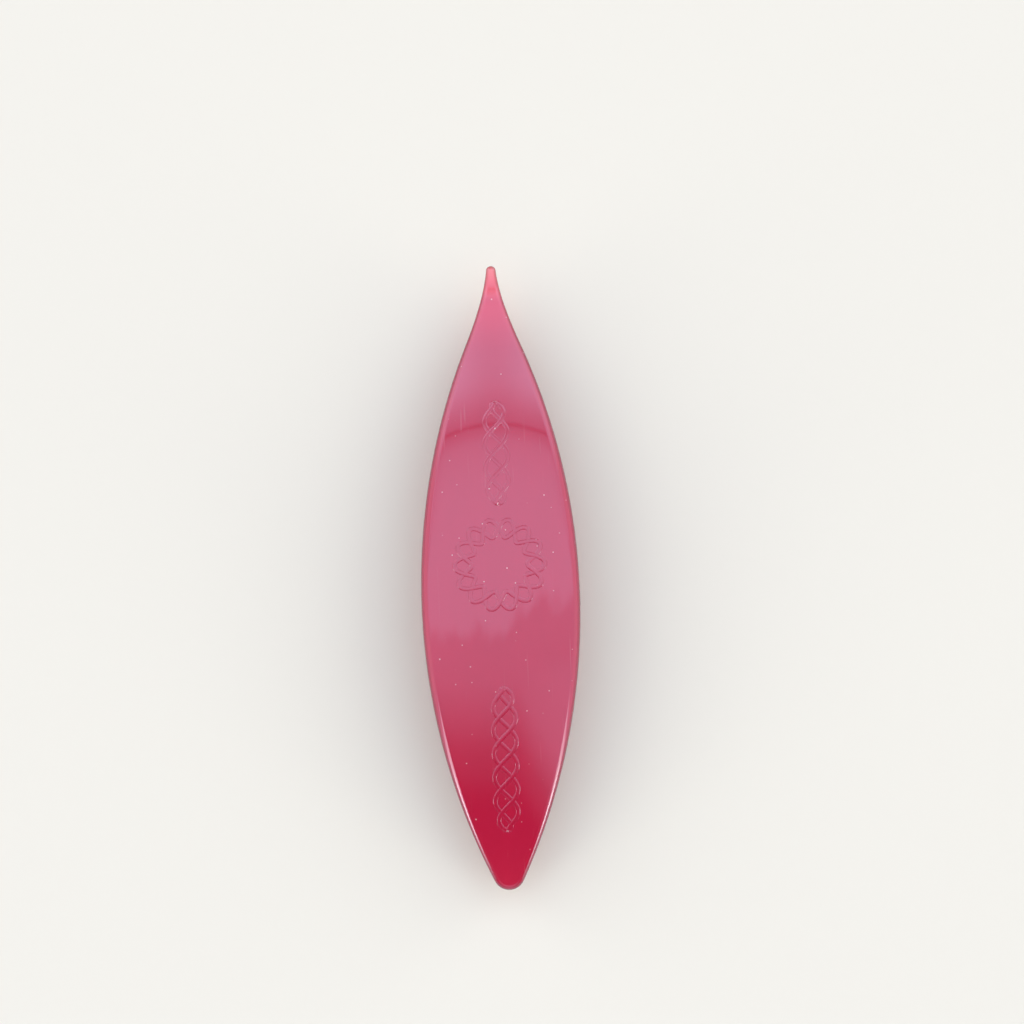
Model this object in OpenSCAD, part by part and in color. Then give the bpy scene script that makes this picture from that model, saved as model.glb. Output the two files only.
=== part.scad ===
// Post shuttle for tatting: two crowned blades on a centre post, the upper blade with a pick.
// It lies on its lower blade. +Y runs to the pick, +X across the blades and +Z up.
// The origin is on the surface it lies on, under the middle of its length and width.

/* [Overall] */
// Length from the point of the pick to the tail
overall_length = 70; // [62:0.5:80]
// Width across the blades at their widest place
blade_width = 17.8; // [15:0.1:21]
// Height over both blades at the post
overall_height = 10; // [9:0.1:12]

/* [Blades] */
// Wall of a blade over the post
blade_wall = 1.5; // [1.3:0.05:1.8]
// Wall of a blade at its tips
tip_wall = 1; // [0.8:0.05:1.2]
// Radius of a blade's round ends, seen from above
end_radius = 1.8; // [1:0.05:2.5]
// Radius of the crown across a blade
crown_radius = 45; // [35:1:90]
// Depth taken off the crest of each outer face, which leaves a flat land for the shuttle to lie on
land_depth = 0.04; // [0.03:0.01:0.1]
// How far the rounding of the rim reaches in from the edge on the outer face
rim_round = 0.8; // [0.4:0.05:1.1]
// How far the rounding of the rim reaches in from the edge on the inner face
inner_rim_round = 0.5; // [0.3:0.05:0.8]
// Gap between the closed tips, which the thread springs open
tip_gap = 0.15; // [0.1:0.05:0.4]

/* [Pick] */
// How far the pick stands out past the lower blade
pick_reach = 4.6; // [3:0.1:6.5]
// Radius of the pick's point, seen from above
pick_point_radius = 0.55; // [0.5:0.05:0.8]
// Growth of the pick's half width for each millimetre from its point
pick_taper = 0.12; // [0.05:0.01:0.2]
// Strength of the hollow flare between flank and pick
pick_flare = 1.6; // [0.5:0.1:3]
// Thickness of the pick at its point
pick_point_wall = 0.8; // [0.6:0.05:1]

/* [Post] */
// Length of the post along the shuttle
post_length = 15; // [13:0.5:18]
// Width of the post across the shuttle
post_width = 7; // [6:0.1:9]
// Radius of the post's round ends
post_end_radius = 1.6; // [1:0.1:2.4]
// Diameter of the hole that the thread is tied to
thread_hole = 2; // [1.4:0.1:2.6]
// Width of the bevel round each mouth of the thread hole
hole_bevel = 0.4; // [0.2:0.05:0.6]
// How far a blade's seat stands proud of its inner face at the middle
seat_height = 0.5; // [0.45:0.05:0.8]
// Rim of the seat that shows round the post
seat_margin = 0.6; // [0.3:0.1:1]
// Diameter of a locating peg
peg_diameter = 1.8; // [1.4:0.1:2.2]
// Length of a locating peg
peg_length = 0.9; // [0.6:0.05:1]
// Spacing of the two pegs on one end of the post
peg_spacing = 8; // [6:0.5:8.5]
// Bevel on a peg's tip
peg_bevel = 0.2; // [0.1:0.05:0.3]
// Play round a peg in its socket
peg_play = 0.05; // [0.02:0.01:0.15]
// Play past the tip of a peg in its socket
peg_end_play = 0.1; // [0.05:0.05:0.2]

/* [Smoothness] */
// Stations along a blade
stations = 64; // [32:4:80]
// Points on one side of a blade's outer face
face_points = 6; // [4:1:8]
// Points on the outer rounding of the rim
rim_points = 4; // [3:1:6]

/* [Hidden] */
cherry = [0.73, 0.12, 0.27];
round_fn = 48;
oval_points = 32;
overcut = 1;

half_width = blade_width / 2;
half_length = (overall_length - pick_reach) / 2;
mid_height = overall_height / 2;
crest_height = mid_height + land_depth;
// The blades and the post are centred on the lower blade, so they lie behind the middle of the length
blade_centre_y = -pick_reach / 2;

// The inner faces close on each other where the rounding of the tips begins
closing = half_length - inner_rim_round * tip_wall / blade_wall;
// Height of the outer face above the shuttle's mid plane at that place, and the arc that leads there
closing_height = tip_gap / 2 + tip_wall;
bow = crest_height - closing_height;
bow_radius = (closing * closing + bow * bow) / (2 * bow);
tip_slope = half_length / sqrt(bow_radius * bow_radius - half_length * half_length);

// The share of the wall that the outer rounding of the rim takes, and what the inner one is left
outer_share = 0.65;
inner_face_points = face_points - 2;
inner_rim_points = rim_points - 1;

// Half the post's height: the seats' distance from the mid plane
seat_level = crest_height - blade_wall - seat_height;
// How deep a seat's prism reaches into the wall that carries it
seat_root = blade_wall / 3;

// Radius of the long arcs of an oval whose ends are rounded by end_r
function flank_radius(half_l, half_w, end_r) =
    (pow(half_l - end_r, 2) + half_w * half_w - end_r * end_r) / (2 * (half_w - end_r));

// Half width of an endless flank arc at d from the middle; it is below zero past the arcs' crossing
function flank(d, half_w, arc_r) = half_w - arc_r + sqrt(arc_r * arc_r - d * d);

// Half width of a whole oval at d from the middle: a flank arc that runs into a round end
function oval_half_width(d, half_l, half_w, end_r) =
    let(
        arc_r = flank_radius(half_l, half_w, end_r),
        from_end = half_l - abs(d),
        joins_at = (half_l - end_r) * arc_r / (arc_r - end_r)
    )
    abs(d) < joins_at ? flank(d, half_w, arc_r) : sqrt(max(from_end * (2 * end_r - from_end), 0));

// The larger of two lengths, with the corner between them filled by a hollow curve
function blended_max(a, b, reach) = max(a, b) + pow(max(reach - abs(a - b), 0), 2) / (4 * reach);

// Half width of the upper blade ahead of its middle: flank, flare, tapering pick and round point
function pick_half_width(d) =
    let(
        from_point = half_length + pick_reach - d,
        arc_r = flank_radius(half_length, half_width, end_radius),
        shank = pick_point_radius + pick_taper * (from_point - pick_point_radius)
    )
    from_point < pick_point_radius
        ? sqrt(max(from_point * (2 * pick_point_radius - from_point), 0))
        : blended_max(flank(d, half_width, arc_r), shank, pick_flare);

function blade_half_width(d, reach) =
    reach > 0 && d > 0 ? pick_half_width(d) : oval_half_width(d, half_length, half_width, end_radius);

// How far a place lies out on the pick, past the lower blade's tip
function out_on_pick(d) = max(d - half_length, 0);

// Height of the outer face above the mid plane on the blade's middle line. The pick starts along
// the blade's slope and levels out at its point.
function ridge(d) =
    let(out = out_on_pick(d), on_blade = min(abs(d), half_length))
    crest_height - bow_radius + sqrt(bow_radius * bow_radius - on_blade * on_blade)
        - tip_slope * out * (1 - out / (2 * pick_reach));

// Wall of the blade, thinning from the post to the tips and on to the pick's point
function wall(d) =
    let(on_blade = min(abs(d), closing) / closing)
    tip_wall + (blade_wall - tip_wall) * (1 - on_blade * on_blade)
        - (tip_wall - pick_point_wall) * out_on_pick(d) / pick_reach;

// Height of the outer face at any place, with the crown taken off the ridge
function outer_face(x, d) = ridge(d) - x * x / (2 * crown_radius);

// One point of a spoke's section: a place out along the spoke and a drop below the outer face
function on_spoke(foot, tip, length, out, drop) =
    let(x = tip[0] * out / length, d = foot + (tip[1] - foot) * out / length)
    [x, d, outer_face(x, d) - drop];

// Section along one spoke, from the middle line over the outer face, round the rim and back inside
function spoke(foot, tip) =
    let(
        length = norm([tip[0], tip[1] - foot]),
        thick = wall(tip[1]),
        outer = rim_round * thick / blade_wall,
        inner = inner_rim_round * thick / blade_wall,
        outer_drop = outer_share * thick,
        inner_rise = thick - outer_drop
    )
    [
        for (i = [0 : face_points])
            on_spoke(foot, tip, length, (length - outer) * i / face_points, 0),
        for (i = [1 : rim_points])
            let(turn = 90 * i / rim_points)
            on_spoke(foot, tip, length, length - outer * (1 - sin(turn)), outer_drop * (1 - cos(turn))),
        for (i = [1 : inner_rim_points])
            let(turn = 90 * i / inner_rim_points)
            on_spoke(foot, tip, length, length - inner * (1 - cos(turn)), outer_drop + inner_rise * sin(turn)),
        for (i = [1 : inner_face_points])
            on_spoke(foot, tip, length, (length - inner) * (1 - i / inner_face_points), thick)
    ];

// The blade above the mid plane, centred over the post. Spokes fan from its middle line to its
// outline, close together at the round ends, so that the rim runs unbroken round both tips.
module blade_shell(reach) {
    front = half_length + reach;
    front_foot = front - (reach > 0 ? pick_point_radius : end_radius);
    tail_foot = half_length - end_radius;

    spokes = [
        for (i = [0 : stations])
            let(
                lean = cos(180 * i / stations),
                d = lean * (lean > 0 ? front : half_length),
                foot = lean * (lean > 0 ? front_foot : tail_foot),
                at_end = i == 0 || i == stations
            )
            spoke(foot, [at_end ? 0 : blade_half_width(d, reach), d])
    ];
    last = len(spokes[0]) - 1;
    inner_count = last - 1;
    right_count = (stations + 1) * (last + 1);

    right_points = [for (section = spokes) for (p = section) p];
    left_points = [
        for (i = [1 : stations - 1])
            for (j = [1 : inner_count])
                [-spokes[i][j][0], spokes[i][j][1], spokes[i][j][2]]
    ];
    function right(i, j) = i * (last + 1) + j;
    function left(i, j) =
        i == 0 || i == stations || j == 0 || j == last
            ? right(i, j)
            : right_count + (i - 1) * inner_count + j - 1;

    // Each cell of the net is cut from corner to corner. The cut runs toward the nearest corner of the
    // net, because the two sides of the blade share the net's border.
    function cell(a, b, c, d, cut_ac) = cut_ac ? [[a, b, c], [a, c, d]] : [[a, b, d], [b, c, d]];
    faces = [
        for (i = [0 : stations - 1])
            for (j = [0 : last - 1])
                let(cut_ac = (i < stations / 2) == (j < last / 2))
                each concat(
                    cell(right(i, j), right(i, j + 1), right(i + 1, j + 1), right(i + 1, j), cut_ac),
                    cell(left(i, j), left(i + 1, j), left(i + 1, j + 1), left(i, j + 1), cut_ac)
                )
    ];
    polyhedron(points = concat(right_points, left_points), faces = faces, convexity = 4);
}

// Outline of the post, grown by a margin for the seats that carry it
module post_outline(margin) {
    half_l = post_length / 2 + margin;
    half_w = post_width / 2 + margin;
    end_r = post_end_radius + margin;
    function at(i) = half_l * cos(180 * i / oval_points);
    polygon([
        for (i = [0 : oval_points]) [oval_half_width(at(i), half_l, half_w, end_r), at(i)],
        for (i = [1 : oval_points - 1]) [-oval_half_width(-at(i), half_l, half_w, end_r), -at(i)]
    ]);
}

module at_pegs() {
    for (side = [-1, 1])
        translate([0, side * peg_spacing / 2, 0])
            children();
}

// A blade above the mid plane, with its flat land, its seat and the sockets for the post's pegs
module seated_blade(reach) {
    difference() {
        union() {
            blade_shell(reach);
            translate([0, 0, seat_level])
                linear_extrude(seat_height + seat_root)
                    post_outline(seat_margin);
        }
        translate([-half_width, -half_length, mid_height])
            cube([blade_width, 2 * half_length, overcut]);
        translate([0, 0, seat_level])
            at_pegs()
                translate([0, 0, -overcut])
                    cylinder(h = overcut + peg_length + peg_end_play, d = peg_diameter + 2 * peg_play,
                             $fn = round_fn);
    }
}

module upper_blade() {
    color(cherry)
        translate([0, blade_centre_y, mid_height])
            seated_blade(pick_reach);
}

module lower_blade() {
    color(cherry)
        translate([0, blade_centre_y, mid_height])
            mirror([0, 0, 1])
                seated_blade(0);
}

module peg() {
    cylinder(h = peg_length - peg_bevel, d = peg_diameter, $fn = round_fn);
    translate([0, 0, peg_length - peg_bevel])
        cylinder(h = peg_bevel, d1 = peg_diameter, d2 = peg_diameter - 2 * peg_bevel, $fn = round_fn);
}

// The bevelled mouth of the thread hole on the +X side
module hole_mouth() {
    translate([post_width / 2 - hole_bevel, 0, 0])
        rotate([0, 90, 0])
            cylinder(h = 2 * hole_bevel, d1 = thread_hole, d2 = thread_hole + 4 * hole_bevel, $fn = round_fn);
}

module centre_post() {
    color(cherry)
        translate([0, blade_centre_y, mid_height])
            difference() {
                union() {
                    linear_extrude(2 * seat_level, center = true)
                        post_outline(0);
                    for (end = [0, 1])
                        mirror([0, 0, end])
                            translate([0, 0, seat_level])
                                at_pegs()
                                    peg();
                }
                rotate([0, 90, 0])
                    cylinder(h = post_width + 2 * overcut, d = thread_hole, center = true, $fn = round_fn);
                for (side = [0, 1])
                    mirror([side, 0, 0])
                        hole_mouth();
            }
}

upper_blade();
lower_blade();
centre_post();
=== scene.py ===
# %% [markdown]
# # A post shuttle for tatting, in cherry plastic
# The shuttle is 70 mm long: two crowned, boat-shaped blades stand back to back on a small post, and
# thread is wound round the post between them. The upper blade is drawn out into a pick. The solid
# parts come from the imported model, which fixes every size and place. This lesson dresses them: fine
# surfaces for the blades, a frosted cherry plastic, and a plain studio with a dome of soft light.

import bpy
import numpy as np
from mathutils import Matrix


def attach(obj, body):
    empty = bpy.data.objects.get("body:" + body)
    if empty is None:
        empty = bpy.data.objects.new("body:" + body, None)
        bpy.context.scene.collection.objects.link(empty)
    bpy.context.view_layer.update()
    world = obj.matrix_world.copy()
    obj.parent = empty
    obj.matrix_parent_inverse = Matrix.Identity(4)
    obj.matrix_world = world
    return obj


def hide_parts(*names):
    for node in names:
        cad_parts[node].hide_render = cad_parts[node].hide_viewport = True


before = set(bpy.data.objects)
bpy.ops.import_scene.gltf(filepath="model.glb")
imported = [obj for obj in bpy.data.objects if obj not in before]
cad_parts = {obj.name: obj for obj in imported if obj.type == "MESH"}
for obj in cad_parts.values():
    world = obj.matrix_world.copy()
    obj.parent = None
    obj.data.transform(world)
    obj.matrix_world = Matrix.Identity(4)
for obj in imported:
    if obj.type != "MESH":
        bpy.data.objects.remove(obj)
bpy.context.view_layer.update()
MM = 0.001
print("packed parts:", sorted(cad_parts))

# %% [markdown]
# ## The sizes
# The fine surfaces follow the same rules as the solids, so they start from the same sizes, here in
# millimetres. Lengths along a blade are measured from the middle of the post and are positive towards
# the pick. Heights are measured from the plane half way between the two blades.

# %% Sizes of the shuttle
OVERALL_LENGTH = 70.0
HALF_WIDTH = 8.9
MID_HEIGHT = 5.0
BLADE_WALL, TIP_WALL, POINT_WALL = 1.5, 1.0, 0.8
END_RADIUS, POINT_RADIUS = 1.8, 0.55
CROWN_RADIUS = 45.0
RIM_ROUND, INNER_RIM_ROUND, OUTER_SHARE = 0.8, 0.5, 0.65
TIP_GAP = 0.15
PICK_REACH, PICK_TAPER, PICK_FLARE = 4.6, 0.12, 1.6

HALF_LENGTH = (OVERALL_LENGTH - PICK_REACH) / 2
POST_Y = -PICK_REACH / 2
CLOSING = HALF_LENGTH - INNER_RIM_ROUND * TIP_WALL / BLADE_WALL
CLOSING_HEIGHT = TIP_GAP / 2 + TIP_WALL
print(f"half length {HALF_LENGTH:.1f} mm, post at y = {POST_Y:.1f} mm")

# %% [markdown]
# ## The outline of a blade
# Seen from above, a blade is two long arcs that meet in small round ends. On the upper blade the
# flanks run through a hollow flare into the tapering pick. The outline could be a curve drawn by hand,
# but rules with a few sizes in them give the very outline of the solid blade. Each rule takes a whole
# array of places along the blade and gives the half width at each of them.


# %% Outline
def flank_radius(half_length, half_width, end_radius):
    """Radius of the long arcs, which pass through the widest place and touch the round ends' circles."""
    rise = (half_length - end_radius) ** 2 + half_width**2 - end_radius**2
    return rise / (2 * (half_width - end_radius))


def oval_half_width(d, half_length, half_width, end_radius):
    """Half width of a whole oval: the flank's arc out to where it meets the end's circle, then that
    circle."""
    arc = flank_radius(half_length, half_width, end_radius)
    from_end = half_length - np.abs(d)
    joins_at = (half_length - end_radius) * arc / (arc - end_radius)
    flank = half_width - arc + np.sqrt(arc**2 - d**2)
    end = np.sqrt(np.maximum(from_end * (2 * end_radius - from_end), 0))
    return np.where(np.abs(d) < joins_at, flank, end)


def pick_half_width(d):
    """Half width ahead of the post: the larger of flank and shank, with the corner filled by a hollow
    curve, and a round point."""
    arc = flank_radius(HALF_LENGTH, HALF_WIDTH, END_RADIUS)
    from_point = HALF_LENGTH + PICK_REACH - d
    flank = HALF_WIDTH - arc + np.sqrt(arc**2 - d**2)
    shank = POINT_RADIUS + PICK_TAPER * (from_point - POINT_RADIUS)
    fill = np.maximum(PICK_FLARE - np.abs(flank - shank), 0) ** 2 / (4 * PICK_FLARE)
    point = np.sqrt(np.maximum(from_point * (2 * POINT_RADIUS - from_point), 0))
    return np.where(from_point < POINT_RADIUS, point, np.maximum(flank, shank) + fill)


def blade_half_width(d, reach):
    """Half width of either blade; only the one with a reach has the pick, ahead of the post."""
    oval = oval_half_width(np.clip(d, -HALF_LENGTH, HALF_LENGTH), HALF_LENGTH, HALF_WIDTH, END_RADIUS)
    return np.where(d > 0, pick_half_width(d), oval) if reach else oval


print("width at the post:", 2 * float(blade_half_width(np.array([0.0]), 0)[0]), "mm")

# %% [markdown]
# ## The bow, the crown and the wall
# From the side, a blade is one long flat arc from tip to tip, and across its width it is crowned. The
# moulding is thickest over the post and thins toward the tips, where the two blades close on each
# other. The bow is set by two heights, at the crest and where the tips close, so that the tips close
# whatever the crest is.


# %% Heights
def bow_radius(crest):
    """Radius of the arc that drops from the crest to the closing height over the closing length."""
    drop = crest - CLOSING_HEIGHT
    return (CLOSING**2 + drop**2) / (2 * drop)


def ridge(d, crest):
    """Height of the middle line: the bow's arc, and over the pick its last slope, which levels out."""
    radius = bow_radius(crest)
    slope = HALF_LENGTH / np.sqrt(radius**2 - HALF_LENGTH**2)
    out = np.maximum(d - HALF_LENGTH, 0)
    on_blade = np.minimum(np.abs(d), HALF_LENGTH)
    return crest - radius + np.sqrt(radius**2 - on_blade**2) - slope * out * (1 - out / (2 * PICK_REACH))


def wall(d):
    """Thickness of the plastic: falls with the square of the distance from the post, then evenly on
    the pick."""
    share = np.minimum(np.abs(d), CLOSING) / CLOSING
    out = np.maximum(d - HALF_LENGTH, 0) / PICK_REACH
    return TIP_WALL + (BLADE_WALL - TIP_WALL) * (1 - share**2) - (TIP_WALL - POINT_WALL) * out


print(f"bow radius {bow_radius(MID_HEIGHT):.1f} mm, wall at the tips {wall(HALF_LENGTH):.2f} mm")

# %% [markdown]
# ## A blade as one closed net
# A blade could be cut from a block, or be a sheet with a thickness and a bevelled rim. But here the
# rim's curve matters most, because it carries the bright lines, so the blade is one net of points.
# Spokes fan from the middle line to the outline, and each spoke carries a section: over the outer
# face, round the rim and back under the inner face. The right side is mirrored to the left, so every
# station is a closed loop and the net closes on itself at both tips. Nothing is joined or cut, so the
# rim runs unbroken round the tail and the pick. Stations are even along the flanks and step by equal
# angles round the small ends, because a round end needs more of them.


# %% Stations and sections
def stations_along(front, point_radius, spacing, end_steps):
    """Places from the front tip to the tail: equal angles round each end, even steps between the ends."""
    turn = 1 - np.cos(np.linspace(0, np.pi / 2, end_steps))
    start, stop = front - point_radius, END_RADIUS - HALF_LENGTH
    even = np.linspace(start, stop, int((start - stop) / spacing))
    return np.concatenate([front - point_radius * turn, even[1:-1], END_RADIUS * turn[::-1] - HALF_LENGTH])


def section(length, thick, face, rim, inner_rim, inner_face):
    """Distance out along the spoke and drop below the outer face: the face, a quarter turn to the rim's
    widest line, a quarter turn back in, and the inner face. One row for each spoke."""
    length, thick = length[:, None], thick[:, None]
    outer, inner = RIM_ROUND * thick / BLADE_WALL, INNER_RIM_ROUND * thick / BLADE_WALL
    outer_drop = OUTER_SHARE * thick
    turn = np.linspace(0, np.pi / 2, rim + 1)[1:]
    back = np.linspace(0, np.pi / 2, inner_rim + 1)[1:]
    under = 1 - np.linspace(0, 1, inner_face + 1)[1:]
    out = [(length - outer) * face, length - outer * (1 - np.sin(turn)),
           length - inner * (1 - np.cos(back)), (length - inner) * under]
    drop = [0 * thick * face, outer_drop * (1 - np.cos(turn)),
            outer_drop + (thick - outer_drop) * np.sin(back), thick + 0 * under]
    return np.hstack(out), np.hstack(drop)


FINE_SPACING, PLAIN_SPACING, END_STEPS = 0.2, 0.3, 14

places = stations_along(HALF_LENGTH + PICK_REACH, POINT_RADIUS, FINE_SPACING, END_STEPS)
print(len(places), "stations on the upper blade")


# %% From a net of loops to a mesh
def mesh_from_loops(name, loops, merged, outward, marks=None):
    """A closed mesh from loops of points, one row each; merged gives the number of the point that each
    place in the net uses, so that places which share a point close a seam, and a face that meets a
    shared point twice becomes a triangle. Outward is 1 or -1, and -1 turns the faces over."""
    used, index = np.unique(merged, return_inverse=True)
    index = index.reshape(merged.shape)
    ahead = np.roll(index, -1, axis=1)
    quads = np.stack([index[:-1], index[1:], ahead[1:], ahead[:-1]], axis=-1).reshape(-1, 4)[:, ::outward]
    corner = quads != np.roll(quads, 1, axis=1)
    corners = corner.sum(axis=1)
    mesh = bpy.data.meshes.new(name)
    mesh.vertices.add(len(used))
    mesh.vertices.foreach_set("co", (loops.reshape(-1, 3)[used] * MM).ravel())
    mesh.loops.add(int(corners.sum()))
    mesh.loops.foreach_set("vertex_index", quads[corner])
    mesh.polygons.add(len(quads))
    mesh.polygons.foreach_set("loop_start", np.cumsum(corners) - corners)
    mesh.update(calc_edges=True)
    mesh.shade_smooth()
    for mark, values in (marks or {}).items():
        mesh.attributes.new(mark, "FLOAT", "POINT").data.foreach_set("value", values.reshape(-1)[used])
    piece = bpy.data.objects.new(name, mesh)
    bpy.context.scene.collection.objects.link(piece)
    return piece


def closed_on_points(loops):
    """The loops with one more at each end, whose places all share the point in the middle of the end
    loop, and the number of the point that each place uses."""
    first, last = loops[:1].mean(axis=1, keepdims=True), loops[-1:].mean(axis=1, keepdims=True)
    loops = np.concatenate([first + 0 * loops[:1], loops, last + 0 * loops[-1:]])
    merged = np.arange(loops[..., 0].size).reshape(loops.shape[:2])
    merged[[0, -1]] = merged[[0, -1], :1]
    return loops, merged


def enclosed(piece):
    """Volume in mm3: the sum of the signed volumes that the triangles make with the origin, which is
    positive where the faces point out."""
    mesh = piece.data
    mesh.calc_loop_triangles()
    co, tri = np.empty(len(mesh.vertices) * 3), np.empty(len(mesh.loop_triangles) * 3, int)
    mesh.vertices.foreach_get("co", co)
    mesh.loop_triangles.foreach_get("vertices", tri)
    a, b, c = (co.reshape(-1, 3)[tri.reshape(-1, 3)] / MM).transpose(1, 0, 2)
    return float(np.einsum("ij,ij->i", a, np.cross(b, c)).sum() / 6)


# %% The blade's surface
# Where the thin mark starts ahead of the post and behind it, and how strong it gets at the tail.
THIN_FROM, TAIL_THIN_FROM, TAIL_SHARE = 27.0, 25.0, 0.25
# How far the painted shade along the outline reaches in from the rim, and the room left under the box for
# the ornament.
EDGE_SHADE_REACH, RELIEF = 0.45, 0.025


def face_height(x, d, crest):
    """Height of an outer face: the ridge less the crown's drop, the square of x over twice its radius."""
    return ridge(d, crest) - x**2 / (2 * CROWN_RADIUS)


def marks_at(d, from_outline):
    """Two marks for each point. Thin, for the painted light of the pale tips, rises evenly to the point of
    the pick and, less far, to the tail; the mark for the painted shade along the outline falls evenly from
    1 at the outline."""
    to_pick = np.clip((d - THIN_FROM) / (HALF_LENGTH + PICK_REACH - THIN_FROM), 0, 1)
    to_tail = np.clip((-d - TAIL_THIN_FROM) / (HALF_LENGTH - TAIL_THIN_FROM), 0, 1)
    return {"thin": np.maximum(to_pick, TAIL_SHARE * to_tail),
            "edge_shade": np.clip(1 - from_outline / EDGE_SHADE_REACH, 0, 1)}


def blade(name, side, reach, crest, spacing, face, rim=12, inner_rim=7, inner_face=14):
    """A whole blade, above the middle plane where side is 1 and below it where side is -1. A spoke's foot
    is its station, drawn in evenly so that the one at a tip stands at the centre of the round end. A
    point some way out along a spoke lies at that share of the way from its foot to the outline."""
    front, point_radius = (HALF_LENGTH + reach, POINT_RADIUS) if reach else (HALF_LENGTH, END_RADIUS)
    d = stations_along(front, point_radius, spacing, END_STEPS)
    foot = d * np.where(d > 0, (front - point_radius) / front, (HALF_LENGTH - END_RADIUS) / HALF_LENGTH)
    half_width = blade_half_width(d, reach)
    half_width[[0, -1]] = 0
    length = np.hypot(half_width, d - foot)
    out, drop = section(length, wall(d), face, rim, inner_rim, inner_face)
    x = half_width[:, None] * out / length[:, None]
    y = foot[:, None] + (d - foot)[:, None] * out / length[:, None]
    z = face_height(x, y, crest) - drop
    inward = slice(x.shape[1] - 2, 0, -1)
    net = [np.hstack([part, sign * part[:, inward]])
           for part, sign in ((x, -1), (y, 1), (z, 1), (length[:, None] - out, 1))]
    merged = np.arange(net[0].size).reshape(net[0].shape)
    merged[[0, -1], x.shape[1]:] = merged[[0, -1], inward]
    loops = np.stack([net[0], net[1] + POST_Y, side * net[2] + MID_HEIGHT], axis=-1)
    return mesh_from_loops(name, loops, merged, side, marks_at(net[1], net[3]))


FINE_FACE_POINTS, PLAIN_FACE_POINTS = 45, 20

fine_face, plain_face = np.linspace(0, 1, FINE_FACE_POINTS), np.linspace(0, 1, PLAIN_FACE_POINTS)
upper_blade = blade("upper_blade_fine", 1, PICK_REACH, MID_HEIGHT - RELIEF, FINE_SPACING, fine_face)
lower_blade = blade("lower_blade_fine", -1, 0, MID_HEIGHT, PLAIN_SPACING, plain_face)
for piece in (upper_blade, lower_blade):
    print(piece.name, len(piece.data.polygons), "faces, volume", round(enclosed(piece), 1), "mm3")

# %% [markdown]
# ## The raised ornament
# A faint raised ornament runs down the middle of the upper blade: a braid, a wreath of the same kind
# and a second braid. It is generic, and stands two hundredths of a millimetre proud. Bump in the
# material could fake it, but real geometry stays when the part is used elsewhere. Each strand is a flat
# ribbon with soft edges that lies on the crowned face and weaves over and under the others, so it shows
# only as fine lines where its edges catch another part of the light.

# %% Strands
STRAND_HEIGHT, STRAND_EDGE, STRAND_HALF_WIDTH, STRAND_ROOT = 0.02, 0.07, 0.24, 0.05
STRAND_SPACING, EDGE_POINTS, WEAVE_LIFT, SAME_PLACE = 0.12, 6, 0.2, 1e-6
BRAIDS = ((22.0, 10.6), (-10.0, -26.0))
BRAID_SWING, BRAID_PITCH, BRAID_CLOSING, BRAID_STRANDS = 1.3, 8.0, 3.0, 3
WREATH_AT, WREATH_RADIUS, WREATH_SWING, WREATH_WAVES, WREATH_STEPS = 3.8, 4.1, 1.0, 7, 400


def strand(name, x, d, over):
    """A ribbon along a path on the upper face. Across the path its height is level, then falls off over
    the edge's width, and its root lies in the plastic. Over, from -1 to 1, lifts it above what it crosses
    or lowers it under. A path that ends where it starts closes on itself, and another closes on a point
    at each end."""
    ahead = np.stack([np.gradient(x), np.gradient(d)], axis=-1)
    ahead /= np.hypot(*ahead.T)[:, None]
    level = STRAND_HALF_WIDTH - STRAND_EDGE
    top = np.append(np.linspace(-STRAND_HALF_WIDTH, -level, EDGE_POINTS), 0)
    off = np.concatenate([top, -top[-2::-1], [STRAND_HALF_WIDTH, -STRAND_HALF_WIDTH]])
    fall = np.clip((np.abs(off) - level) / STRAND_EDGE, 0, 1)
    height = STRAND_HEIGHT * (1 - fall**2 * (3 - 2 * fall)) * (1 + WEAVE_LIFT * over[:, None])
    height[:, -2:] = -STRAND_ROOT
    side_x = x[:, None] + ahead[:, 1:] * off
    side_d = d[:, None] - ahead[:, :1] * off
    z = face_height(side_x, side_d, MID_HEIGHT - RELIEF) + height
    loops = np.stack([side_x, side_d + POST_Y, z + MID_HEIGHT], axis=-1)
    if np.hypot(x[0] - x[-1], d[0] - d[-1]) < SAME_PLACE:
        merged = np.arange(side_x.size).reshape(side_x.shape)
        merged[-1] = merged[0]
    else:
        loops, merged = closed_on_points(loops)
    return mesh_from_loops(name, loops, merged, -1)


def braid(front, tail, number):
    """The strands of one braid, each a sine wave along the blade that starts a share of a turn later.
    The swing closes to nothing at both ends, along a quarter of an ellipse."""
    d = np.linspace(front, tail, int((front - tail) / STRAND_SPACING))
    from_end = np.clip(np.minimum(front - d, d - tail) / BRAID_CLOSING, 0, 1)
    swing = BRAID_SWING * np.sqrt(from_end * (2 - from_end))
    for i in range(BRAID_STRANDS):
        turn = 2 * np.pi * ((d - front) / BRAID_PITCH + i / BRAID_STRANDS)
        yield strand(f"braid_{number}_strand_{i + 1}", swing * np.sin(turn), d, np.cos(turn))


def wreath():
    """Two strands round a circle that swing in and out against each other, in a whole number of waves."""
    turn = np.linspace(0, 2 * np.pi, WREATH_STEPS)
    for i, sign in enumerate((1, -1)):
        swing = WREATH_RADIUS + sign * WREATH_SWING * np.sin(WREATH_WAVES * turn)
        yield strand(f"wreath_strand_{i + 1}", swing * np.sin(turn), WREATH_AT + swing * np.cos(turn),
                     sign * np.cos(WREATH_WAVES * turn))


ornament = [piece for number, span in enumerate(BRAIDS, 1) for piece in braid(*span, number)]
ornament += wreath()
for piece in ornament:
    print(piece.name, len(piece.data.polygons), "faces, volume", round(enclosed(piece), 2), "mm3")

# %% [markdown]
# ## The seats of the post
# Each blade has a flat seat on its inner face, where the post stands. It is the post's own outline grown
# by a margin, so it is an oval of the same family, and its edge is rounded as a moulded edge is. A Bevel
# modifier on a pad would do, but rings of that oval, each with its own margin and height, need no
# modifier. They close on a point at both ends.

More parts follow.
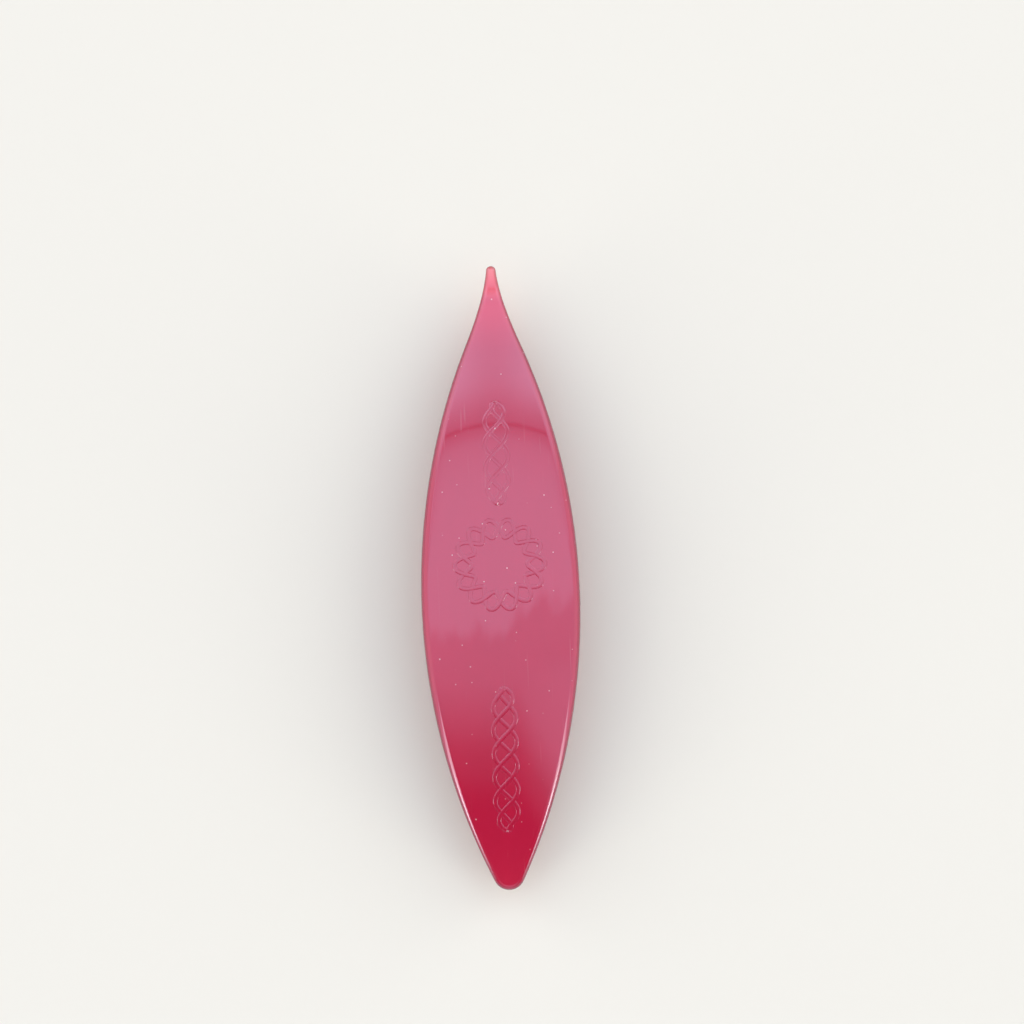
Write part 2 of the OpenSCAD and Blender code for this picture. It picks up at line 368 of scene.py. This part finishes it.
# %% Seats
POST_LENGTH, POST_WIDTH, POST_END_RADIUS = 15.0, 7.0, 1.6
SEAT_MARGIN, SEAT_LEVEL, SEAT_DEPTH, SEAT_EDGE = 0.6, 3.04, 1.0, 0.15
SEAT_RING_POINTS, SEAT_EDGE_POINTS = 96, 7


def seat_ring(margin):
    """The post's outline grown by a margin, as points in a closed ring that runs from +Y over +X. The
    sine, whose sign gives the side, is rounded, so that the ring's two ends lie on the middle line."""
    half_length, half_width = POST_LENGTH / 2 + margin, POST_WIDTH / 2 + margin
    turn = np.arange(SEAT_RING_POINTS) * 2 * np.pi / SEAT_RING_POINTS
    d = half_length * np.cos(turn)
    width = oval_half_width(d, half_length, half_width, POST_END_RADIUS + margin)
    return np.stack([width * np.sign(np.round(np.sin(turn), 9)), d], axis=-1)


def seat(name, side):
    """A shallow oval pad: a flat face, a quarter turn at its edge and the wall, closed on points."""
    turn = np.linspace(0, np.pi / 2, SEAT_EDGE_POINTS)
    margins = np.concatenate([SEAT_MARGIN - SEAT_EDGE * (1 - np.sin(turn)), [SEAT_MARGIN]])
    levels = np.concatenate([SEAT_LEVEL + SEAT_EDGE * (1 - np.cos(turn)), [SEAT_LEVEL + SEAT_DEPTH]])
    rings = np.stack([seat_ring(margin) for margin in margins])
    heights = np.broadcast_to(MID_HEIGHT + side * levels[:, None], rings.shape[:2])
    loops = np.concatenate([rings + [0, POST_Y], heights[..., None]], axis=-1)
    return mesh_from_loops(name, *closed_on_points(loops), side)


seats = [seat("upper_seat_fine", 1), seat("lower_seat_fine", -1)]
for piece in seats:
    print(piece.name, "volume", round(enclosed(piece), 1), "mm3")

# %% [markdown]
# ## Frosted cherry plastic
# The shuttle is moulded in one clouded, cherry-red plastic. It isn't one flat colour: pigment swirls a
# little in the mould, tiny pale flecks sit in it, and handling leaves fine scuffs. These effects belong
# to the plastic and not to a piece, so they are one node group, which the blades and the post share
# with their own values. Its patterns read Object coordinates, which are the shuttle's own metres, so
# they run on from piece to piece. The numbers by each noise are how many of its cells go into a metre.


# %% Helpers for node trees
def add(tree, kind, inputs=None, **settings):
    """Adds a node, applies its settings, and fills each named input with a value or a link."""
    made = tree.nodes.new(kind)
    for setting, value in settings.items():
        setattr(made, setting, value)
    for socket, value in (inputs or {}).items():
        if isinstance(value, bpy.types.NodeSocket):
            tree.links.new(value, made.inputs[socket])
        else:
            made.inputs[socket].default_value = value
    return made


def calc(tree, operation, *values):
    """The result of one Math node."""
    return add(tree, "ShaderNodeMath", dict(enumerate(values)), operation=operation).outputs[0]


def remap(tree, value, low, high, to_low=0.0, to_high=1.0):
    """A value moved smoothly from one span to another, and held at both ends."""
    spans = {"Value": value, "From Min": low, "From Max": high, "To Min": to_low, "To Max": to_high}
    return add(tree, "ShaderNodeMapRange", spans, interpolation_type="SMOOTHSTEP").outputs["Result"]


def colours_along(tree, value, interpolation, stops):
    """A colour that runs through the stops, each a place from 0 to 1 and a colour, as the value rises."""
    ramp = add(tree, "ShaderNodeValToRGB", {"Fac": value})
    ramp.color_ramp.interpolation = interpolation
    elements = ramp.color_ramp.elements
    while len(elements) < len(stops):
        elements.new(1.0)
    for element, (at, colour) in zip(elements, stops):
        element.position, element.color = at, colour
    return ramp.outputs["Color"]


# %% Swirls, flecks and scuffs
def swirls(group, place):
    """Pigment swirls: noise whose middle is 0.5, drawn out along the shuttle."""
    drawn = add(group, "ShaderNodeMapping", {"Vector": place, "Scale": (1.0, 0.45, 1.0)}).outputs[0]
    return add(group, "ShaderNodeTexNoise", {"Vector": drawn, "Scale": 260.0, "Detail": 3.0,
                                             "Roughness": 0.55, "Distortion": 0.6}).outputs[0]


def flecks(group, place):
    """Pale grains: a small ball in the middle of those Voronoi cells whose own random red is high."""
    grains = add(group, "ShaderNodeTexVoronoi", {"Vector": place, "Scale": 1150.0}).outputs
    lot = add(group, "ShaderNodeSeparateColor", {0: grains["Color"]}).outputs[0]
    ball = remap(group, grains["Distance"], 0.125, 0.065)
    return calc(group, "MULTIPLY", ball, remap(group, lot, 0.68, 0.95))


def scuffs(group, place):
    """Fine scuffs: the peaks of two long thin noises that cross, kept only in patches."""
    worn = 0.0
    for turn, along in ((0.5, 36.0), (-1.1, 50.0)):
        lines = add(group, "ShaderNodeMapping", {"Vector": place, "Rotation": (0, 0, turn),
                                                 "Scale": (2600.0, along, 900.0)}).outputs[0]
        fine = add(group, "ShaderNodeTexNoise", {"Vector": lines, "Scale": 1.0, "Detail": 1.0})
        worn = calc(group, "MAXIMUM", remap(group, fine.outputs[0], 0.70, 0.80), worn)
    patch = add(group, "ShaderNodeTexNoise", {"Vector": place, "Scale": 110.0, "Detail": 2.0})
    return calc(group, "MULTIPLY", worn, remap(group, patch.outputs[0], 0.45, 0.62))


# %% The plastic's shared effects
PALE = (0.85, 0.62, 0.66, 1)
SCUFF_PALENESS, SCUFF_FROST, SCUFF_DEPTH, SWIRL_FROST = 0.08, 0.25, 0.6, 0.02
PLASTIC_INPUTS = (("Colour", "NodeSocketColor", (0.5, 0.012, 0.06, 1)), ("Swirl", "NodeSocketFloat", 0.12),
                  ("Flecks", "NodeSocketFloat", 0.5), ("Scuffs", "NodeSocketFloat", 0.5),
                  ("Frost", "NodeSocketFloat", 0.15))
PLASTIC_OUTPUTS = (("Colour", "NodeSocketColor"), ("Roughness", "NodeSocketFloat"),
                   ("Height", "NodeSocketFloat"))


def plastic_group():
    """The colour times one plus the swirls, then mixed with pale by the flecks and a little by the
    scuffs; the frost, which is the roughness, plus a little of both; and a fine ripple less the scuffs."""
    group = bpy.data.node_groups.new("moulded_plastic", "ShaderNodeTree")
    for name, kind, value in PLASTIC_INPUTS:
        group.interface.new_socket(name, in_out="INPUT", socket_type=kind).default_value = value
    for name, kind in PLASTIC_OUTPUTS:
        group.interface.new_socket(name, in_out="OUTPUT", socket_type=kind)
    given = group.nodes.new("NodeGroupInput").outputs
    place = add(group, "ShaderNodeTexCoord").outputs["Object"]

    swirl = calc(group, "SUBTRACT", swirls(group, place), 0.5)
    fleck = calc(group, "MULTIPLY", flecks(group, place), given["Flecks"])
    worn = calc(group, "MULTIPLY", scuffs(group, place), given["Scuffs"])

    shade = calc(group, "MULTIPLY_ADD", swirl, given["Swirl"], 1.0)
    swirled = add(group, "ShaderNodeVectorMath", {0: given["Colour"], "Scale": shade},
                  operation="SCALE").outputs[0]
    pale = calc(group, "MAXIMUM", fleck, calc(group, "MULTIPLY", worn, SCUFF_PALENESS))
    colour = add(group, "ShaderNodeMix", {"Factor": pale, "A": swirled, "B": PALE},
                 data_type="RGBA").outputs["Result"]

    rough = calc(group, "MULTIPLY_ADD", swirl, SWIRL_FROST, given["Frost"])
    rough = calc(group, "MULTIPLY_ADD", worn, SCUFF_FROST, rough)
    ripple = add(group, "ShaderNodeTexNoise", {"Vector": place, "Scale": 520.0, "Detail": 2.0}).outputs[0]
    height = calc(group, "SUBTRACT", ripple, calc(group, "MULTIPLY", worn, SCUFF_DEPTH))
    add(group, "NodeGroupOutput", {"Colour": colour, "Roughness": rough, "Height": height})
    return group


moulded = plastic_group()
print("group", moulded.name, "has", len(moulded.nodes), "nodes")

# %% [markdown]
# ## The blades' and the post's materials
# The thick middle of a blade is a deep cherry. Toward the tips the wall is thin and light passes through,
# so the colour there is painted paler, as painted light: a little at the tail, and in the pick to a salmon
# pink. The mesh carries a mark named thin for that, and a second mark for a painted shade: a fine dark
# line along the rim's outline, where the rim turns away from the light. Marks on the mesh follow the rim
# wherever it bends, which no coordinate does. The blades are polished; the post is left as it came from
# the mould.

# %% Materials
# Cherry for the thick middle; the paler colours toward the thin tips are painted light, for light that
# comes through the wall.
CHERRY, ROSE = (0.432, 0.011, 0.046, 1), (0.565, 0.024, 0.064, 1)
BLUSH, SALMON = (0.70, 0.083, 0.118, 1), (0.75, 0.165, 0.17, 1)
THIN_STOPS = ((0.0, CHERRY), (0.6, ROSE), (0.76, BLUSH), (1.0, SALMON))
# The gloss tint, and the painted shade along the rim's outline: how dark it gets, and at what mark it is
# full.
GLOSS_TINT, EDGE_SHADE_LEVEL, EDGE_SHADE_FULL = (0.66, 0.72, 1.0, 1), 0.55, 0.9


def marked_colour(tree):
    """The colour of a blade: it runs through the stops as the thin mark rises from 0 to 1, paling as
    painted light, and darkens as the outline's mark rises, which is painted shade along the rim."""
    thin = add(tree, "ShaderNodeAttribute", attribute_name="thin").outputs["Fac"]
    colour = colours_along(tree, thin, "EASE", THIN_STOPS)
    # Painted shade: the colour darkens in a fine line along the rim's outline.
    edge_shade = add(tree, "ShaderNodeAttribute", attribute_name="edge_shade").outputs["Fac"]
    shade = remap(tree, edge_shade, 0.0, EDGE_SHADE_FULL, 1.0, EDGE_SHADE_LEVEL)
    return add(tree, "ShaderNodeVectorMath", {0: colour, "Scale": shade}, operation="SCALE").outputs[0]


def plastic(name, frost, scuffed, ripple, marked):
    """A material of the shared plastic, with its own frost, scuffs and ripple in millimetres. Marked is
    true for a mesh that has the two marks."""
    material = bpy.data.materials.new(name)
    material.use_nodes = True
    tree = material.node_tree
    tree.nodes.clear()
    effects = add(tree, "ShaderNodeGroup", node_tree=moulded)
    effects.inputs["Frost"].default_value = frost
    effects.inputs["Scuffs"].default_value = scuffed
    if marked:
        tree.links.new(marked_colour(tree), effects.inputs["Colour"])
    else:
        effects.inputs["Colour"].default_value = CHERRY
    bump = add(tree, "ShaderNodeBump", {"Strength": 1.0, "Distance": ripple * MM,
                                        "Height": effects.outputs["Height"]}).outputs[0]
    shader = add(tree, "ShaderNodeBsdfPrincipled", {
        "Base Color": effects.outputs["Colour"], "Roughness": effects.outputs["Roughness"],
        "Normal": bump, "IOR": 1.6, "Specular IOR Level": 1.0, "Specular Tint": GLOSS_TINT,
        "Subsurface Weight": 0.15, "Subsurface Radius": (1.0, 0.25, 0.3), "Subsurface Scale": 0.8 * MM})
    add(tree, "ShaderNodeOutputMaterial", {"Surface": shader.outputs[0]})
    return material


blade_plastic = plastic("cherry_plastic_polished", frost=0.03, scuffed=0.6, ripple=0.0006, marked=True)
post_plastic = plastic("cherry_plastic_as_moulded", frost=0.3, scuffed=0.2, ripple=0.006, marked=False)
print("materials:", blade_plastic.name, post_plastic.name)

# %% [markdown]
# ## Putting the pieces in place
# The fine blades and seats stand for the two solid blades, and everything rides on the one body. The
# post's solid already has its true shape, with the thread hole and its bevels, so it stays and only
# gets its material.

# %% Pieces on the body
for fine, solid in ((upper_blade, "upper_blade"), (lower_blade, "lower_blade")):
    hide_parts(solid)
for piece in (upper_blade, lower_blade, *seats, *ornament):
    piece.data.materials.append(blade_plastic)
    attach(piece, "root")
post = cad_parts["centre_post"]
for slot in post.material_slots:
    slot.material = post_plastic
print("the post has", len(post.material_slots), "material slot and", len(post.data.polygons), "faces")

# %% [markdown]
# ## The studio
# The shuttle lies on a pale floor under a dome of soft light. Area lamps could light it too, but polish
# mirrors whatever stands round it, so every soft band in the gloss would need a lamp of its own. Here
# the dome is the world, whose brightness depends only on the direction, and each reflection has its
# place in it. The floor is a wide disc.

# %% Floor
FLOOR_RADIUS, FLOOR_SIDES, FLOOR_COLOUR, FLOOR_ROUGHNESS = 3.0, 128, (0.72, 0.71, 0.69, 1), 0.7

floor_mesh = bpy.data.meshes.new("floor")
rim_turn = np.arange(FLOOR_SIDES) * 2 * np.pi / FLOOR_SIDES
floor_points = np.stack([np.cos(rim_turn), np.sin(rim_turn), 0 * rim_turn], axis=-1) * FLOOR_RADIUS
floor_mesh.from_pydata(floor_points.tolist(), [], [list(range(FLOOR_SIDES))])
floor = bpy.data.objects.new("floor", floor_mesh)
bpy.context.scene.collection.objects.link(floor)
floor_paint = bpy.data.materials.new("pale_floor")
floor_paint.use_nodes = True
floor_shader = floor_paint.node_tree.nodes["Principled BSDF"]
floor_shader.inputs["Base Color"].default_value = FLOOR_COLOUR
floor_shader.inputs["Roughness"].default_value = FLOOR_ROUGHNESS
floor.data.materials.append(floor_paint)
print("floor of", FLOOR_SIDES, "sides,", 2 * FLOOR_RADIUS, "m across")

# %% [markdown]
# ## Directions on a ceiling
# A flat panel of light is easiest to draw on a ceiling. So each direction is carried up to a ceiling at
# height one, where it has two coordinates, across and along the shuttle. Each light below starts and
# ends over a span of one of them, and a pair of numbers is such a span: nothing at the first, full at
# the second.


# %% Directions
def ceiling(tree):
    """Across and along: the sideways parts of a direction over its height, which is kept above a
    fiftieth so that the horizon stays within reach."""
    ray = add(tree, "ShaderNodeSeparateXYZ", {0: add(tree, "ShaderNodeTexCoord").outputs["Generated"]})
    height = calc(tree, "MAXIMUM", ray.outputs["Z"], 0.02)
    across = calc(tree, "DIVIDE", ray.outputs["X"], height)
    along = calc(tree, "DIVIDE", ray.outputs["Y"], height)
    return across, along


def hump(tree, value, rise, fall):
    """A smooth rise over one span times a smooth fall over another."""
    return calc(tree, "MULTIPLY", remap(tree, value, *rise), remap(tree, value, *fall))


# %% [markdown]
# ## The panel overhead
# A broad soft panel hangs over the shuttle, and a second one beyond it past a narrow gap. The gap is the
# dark arc near the pick. It is drawn straight and then bent back at the sides, as a crowned face bends
# what it mirrors. Behind the middle the panel steps down along a wavy edge, and then falls to nothing,
# which leaves the deep red toward the tail.

# %% Sizes of the panel
# Brightness along the shuttle, from the tail's side to the pick's.
PANEL_ALONG = ((-0.95, 0.7), (-0.62, 0.15), (-0.40, 0.02), (-0.33, 0.16), (-0.25, 0.46), (-0.15, 1.02),
               (0.17, 1.22), (0.27, 0.95), (0.303, 0.50), (0.39, 1.28), (0.55, 1.4), (0.95, 0.5))
PANEL_TOP = max(bright for at, bright in PANEL_ALONG)
BEND, BEND_CORNER, CORNER_FROM, BEND_SPANS = 0.24, 12.0, 0.26, ((0.0, 0.15), (0.55, 0.35))
PULL, PULL_FROM, PULL_SPAN = 0.7, 0.07, (-0.10, -0.16)
GAP_AT, GAP_HALF_WIDTH, GAP_SHADE = 0.303, 0.007, 0.55
STEP_LIGHT, STEP_SPAN, STEP_WAVES, STEP_WAVE_SIZE = 0.5, (-0.035, 0.005), 11.0, 0.10
STEP_RIGHT, STEP_RIGHT_SPAN = -0.055, (-0.02, 0.14)
FLARE_LIGHT, FLARE_ASIDE, FLARE_ALONG = 0.6, (0.0, 0.25), (0.28, 0.40)
FADE_SPAN, FADE_TO = (0.95, 0.65), 0.3
print("the panel is up to", PANEL_TOP + STEP_LIGHT, "bright, with its gap", GAP_AT, "ahead")


# %% Panel
def bent_along(tree, across, along, aside):
    """The place along the shuttle, moved forward by the square of the place across, and by more past
    the corner; all of it only between the middle and some way ahead."""
    past = calc(tree, "MAXIMUM", calc(tree, "SUBTRACT", aside, CORNER_FROM), 0.0)
    corner = calc(tree, "POWER", past, 2.0)
    bend = calc(tree, "MULTIPLY_ADD", calc(tree, "MULTIPLY", across, across), BEND,
                calc(tree, "MULTIPLY", corner, BEND_CORNER))
    return calc(tree, "MULTIPLY_ADD", bend, hump(tree, along, *BEND_SPANS), along)


def wavy_step(tree, across, along):
    """More light ahead of an edge across the shuttle, which noise makes wavy, and which lies further
    ahead on the right."""
    flat = add(tree, "ShaderNodeCombineXYZ", {0: across, 1: along}).outputs[0]
    waves = add(tree, "ShaderNodeTexNoise", {"Vector": flat, "Scale": STEP_WAVES, "Detail": 2.0})
    on_right = remap(tree, across, *STEP_RIGHT_SPAN)
    edge = calc(tree, "MULTIPLY_ADD", on_right, STEP_RIGHT, along)
    edge = calc(tree, "MULTIPLY_ADD", waves.outputs[0], STEP_WAVE_SIZE, edge)
    return calc(tree, "MULTIPLY", remap(tree, edge, *STEP_SPAN), STEP_LIGHT)


def panel_light(tree, across, along, aside):
    """Brightness by the place along, which is pulled forward on the right behind the middle, plus the
    wavy step; then shaded in the gap, raised by a flare at both sides ahead, and faded far ahead."""
    bent = bent_along(tree, across, along, aside)
    off_right = calc(tree, "MAXIMUM", calc(tree, "SUBTRACT", across, PULL_FROM), 0.0)
    pulled = calc(tree, "MULTIPLY", off_right, remap(tree, along, *PULL_SPAN, 0.0, PULL))
    place = calc(tree, "MULTIPLY_ADD", calc(tree, "ADD", bent, pulled), 0.5, 0.5)
    stops = [(0.5 + 0.5 * at, (bright / PANEL_TOP,) * 3 + (1,)) for at, bright in PANEL_ALONG]
    share = calc(tree, "MAXIMUM", colours_along(tree, place, "CARDINAL", stops), 0.0)
    panel = calc(tree, "MULTIPLY_ADD", share, PANEL_TOP, wavy_step(tree, across, along))
    off_gap = calc(tree, "ABSOLUTE", calc(tree, "SUBTRACT", bent, GAP_AT))
    panel = calc(tree, "MULTIPLY", panel, remap(tree, off_gap, 0.0, GAP_HALF_WIDTH, GAP_SHADE, 1.0))
    flare = calc(tree, "MULTIPLY", remap(tree, aside, *FLARE_ASIDE), remap(tree, along, *FLARE_ALONG))
    panel = calc(tree, "MULTIPLY_ADD", flare, FLARE_LIGHT, panel)
    return calc(tree, "MULTIPLY", panel, remap(tree, along, *FADE_SPAN, FADE_TO, 1.0))


# %% [markdown]
# ## The light at the sides
# The rims mirror what stands at the sides, so it is drawn by two other numbers. Ahead is how far ahead
# of the middle a direction lies for each step aside, and is below 0 behind it. Climb is how steeply it
# rises. The sides are even and pale, with a glow ahead and a narrower one behind, and dim far out both
# ways. Behind the middle they are shaded high up and further back, but for a strip on each side of the
# tail and its low, brightest end, which make the bright line down both edges there.

# %% Sizes at the sides
SIDE_LIGHT, FAR_LIGHT, FAR_AHEAD, FAR_BEHIND = 1.3, 0.3, (1.1, 1.6), (-0.5, -0.9)
SIDE_GLOW, GLOW_AHEAD, GLOW_CLIMB = 0.9, ((0.30, 0.55), (1.6, 1.1)), (1.8, 1.2)
GLOW_BEHIND = ((-0.31, -0.37), (-1.0, -0.8))
SHADE_LIGHT, SHADE_FROM, SHADE_CLIMB = 0.10, (-0.35, -0.41), (1.6, 2.2)
SHADE_FULL, SHADE_END = (-0.62, -0.80), (-2.0, -1.5)
STRIP_LIGHT, STRIP_AT, STRIP_WIDTH, STRIP_CLIMB = 2.2, -0.5, (0.17, 0.07), (1.7, 1.25)
LOW_LIGHT, LOW_AHEAD, LOW_CLIMB = 5.0, ((-0.38, -0.52), (-0.85, -0.68)), (0.55, 0.20)
print("the sides are", SIDE_LIGHT, "bright, and up to", SIDE_LIGHT + SIDE_GLOW, "in the glow")


# %% Sides
def side_light(tree, across, along, aside):
    """The light beside the panel: side light and glow, less the shade, plus the strips and their low
    ends. The second result, from 0 to 1, says where the strips are."""
    ahead = calc(tree, "DIVIDE", along, calc(tree, "MAXIMUM", aside, 0.001))
    off_square = calc(tree, "MULTIPLY", across, across)
    off_square = calc(tree, "ADD", off_square, calc(tree, "MULTIPLY", along, along))
    climb = calc(tree, "DIVIDE", 1.0, calc(tree, "SQRT", off_square))
    side = calc(tree, "MINIMUM", remap(tree, ahead, *FAR_AHEAD, SIDE_LIGHT, FAR_LIGHT),
                remap(tree, ahead, *FAR_BEHIND, SIDE_LIGHT, FAR_LIGHT))
    glow = calc(tree, "MULTIPLY", hump(tree, ahead, *GLOW_AHEAD), remap(tree, climb, *GLOW_CLIMB))
    glow = calc(tree, "MAXIMUM", glow, hump(tree, ahead, *GLOW_BEHIND))
    side = calc(tree, "MULTIPLY_ADD", glow, SIDE_GLOW, side)
    shaded = calc(tree, "MULTIPLY", remap(tree, ahead, *SHADE_FROM), remap(tree, climb, *SHADE_CLIMB))
    shaded = calc(tree, "MAXIMUM", shaded, remap(tree, ahead, *SHADE_FULL))
    shaded = calc(tree, "MULTIPLY", shaded, remap(tree, ahead, *SHADE_END))
    side = add(tree, "ShaderNodeMix", {"Factor": shaded, "A": side, "B": SHADE_LIGHT}).outputs["Result"]
    off_strip = calc(tree, "ABSOLUTE", calc(tree, "SUBTRACT", ahead, STRIP_AT))
    strip = calc(tree, "MULTIPLY", remap(tree, off_strip, *STRIP_WIDTH), remap(tree, climb, *STRIP_CLIMB))
    low = calc(tree, "MULTIPLY", hump(tree, ahead, *LOW_AHEAD), remap(tree, climb, *LOW_CLIMB))
    side = calc(tree, "MULTIPLY_ADD", strip, STRIP_LIGHT, calc(tree, "MULTIPLY_ADD", low, LOW_LIGHT, side))
    return side, calc(tree, "MAXIMUM", strip, low)


# %% [markdown]
# ## The dome of light
# The world joins the two: the panel over the middle and the sides round it, with a soft change between.
# The panel is a little cool, the sides a little warm, and the strips warmer still.

# %% Dome of light
SIDE_TINT, STRIP_TINT, PANEL_TINT = (1.02, 1.0, 0.97, 1), (1.0, 0.97, 0.80, 1), (0.97, 1.0, 1.05, 1)
PAPER_COLOUR, PANEL_WIDTH = (0.92, 0.91, 0.89, 1), (0.9, 0.35)


def dome_of_light(scene):
    """The world: the panel's light and tint within its width, the sides' outside it, and plain pale
    paper where the camera looks past the floor."""
    world = bpy.data.worlds.new("studio_dome")
    world.use_nodes = True
    scene.world = world
    tree = world.node_tree
    tree.nodes.clear()
    across, along = ceiling(tree)
    aside = calc(tree, "ABSOLUTE", across)
    panel = panel_light(tree, across, along, aside)
    side, strips = side_light(tree, across, along, aside)
    overhead = remap(tree, aside, *PANEL_WIDTH)
    light = add(tree, "ShaderNodeMix", {"Factor": overhead, "A": side, "B": panel}).outputs["Result"]
    tint = add(tree, "ShaderNodeMix", {"Factor": strips, "A": SIDE_TINT, "B": STRIP_TINT},
               data_type="RGBA").outputs["Result"]
    tint = add(tree, "ShaderNodeMix", {"Factor": overhead, "A": tint, "B": PANEL_TINT},
               data_type="RGBA").outputs["Result"]
    dome = add(tree, "ShaderNodeBackground", {"Color": tint, "Strength": light})
    paper = add(tree, "ShaderNodeBackground", {"Color": PAPER_COLOUR, "Strength": 1.0})
    seen = add(tree, "ShaderNodeLightPath").outputs["Is Camera Ray"]
    both = add(tree, "ShaderNodeMixShader", {0: seen, 1: dome.outputs[0], 2: paper.outputs[0]})
    add(tree, "ShaderNodeOutputWorld", {"Surface": both.outputs[0]})


dome_of_light(bpy.context.scene)
bpy.context.scene.view_settings.view_transform = "Standard"
print("the dome has", len(PANEL_ALONG), "steps of brightness along the shuttle")

# %% [markdown]
# ## The camera
# The photograph looks straight down with a long lens. Two places fix the camera: the point of the pick
# and the tail, each with its own place in the square frame. They give the scale, the slight lean of
# the shuttle to the left and the camera's place over the floor.

# %% Camera
FRAME_PIXELS = 1024
PICK_IN_FRAME, TAIL_IN_FRAME = np.array([490.6, 266.0]), np.array([509.7, 890.0])
LENS, SENSOR, TIP_HEIGHT = 500.0, 36.0, 5.3

span = PICK_IN_FRAME - TAIL_IN_FRAME
pixels_per_mm = float(np.hypot(*span)) / OVERALL_LENGTH
lean = float(np.arctan2(span[0], -span[1]))
right_way = np.array([np.cos(lean), np.sin(lean)])
up_way = np.array([-np.sin(lean), np.cos(lean)])
off_centre = ((PICK_IN_FRAME + TAIL_IN_FRAME) / 2 - FRAME_PIXELS / 2) / pixels_per_mm
over = -off_centre[0] * right_way + off_centre[1] * up_way
distance = LENS / SENSOR * FRAME_PIXELS / pixels_per_mm

camera = bpy.data.objects.new("camera", bpy.data.cameras.new("camera"))
camera.data.lens, camera.data.sensor_width = LENS, SENSOR
camera.location = (over[0] * MM, over[1] * MM, (TIP_HEIGHT + distance) * MM)
camera.rotation_euler = (0, 0, lean)
bpy.context.scene.collection.objects.link(camera)
bpy.context.scene.camera = camera
print(f"{pixels_per_mm:.2f} pixels to the millimetre, lean {np.degrees(lean):.2f} degrees, "
      f"camera {distance:.0f} mm away")
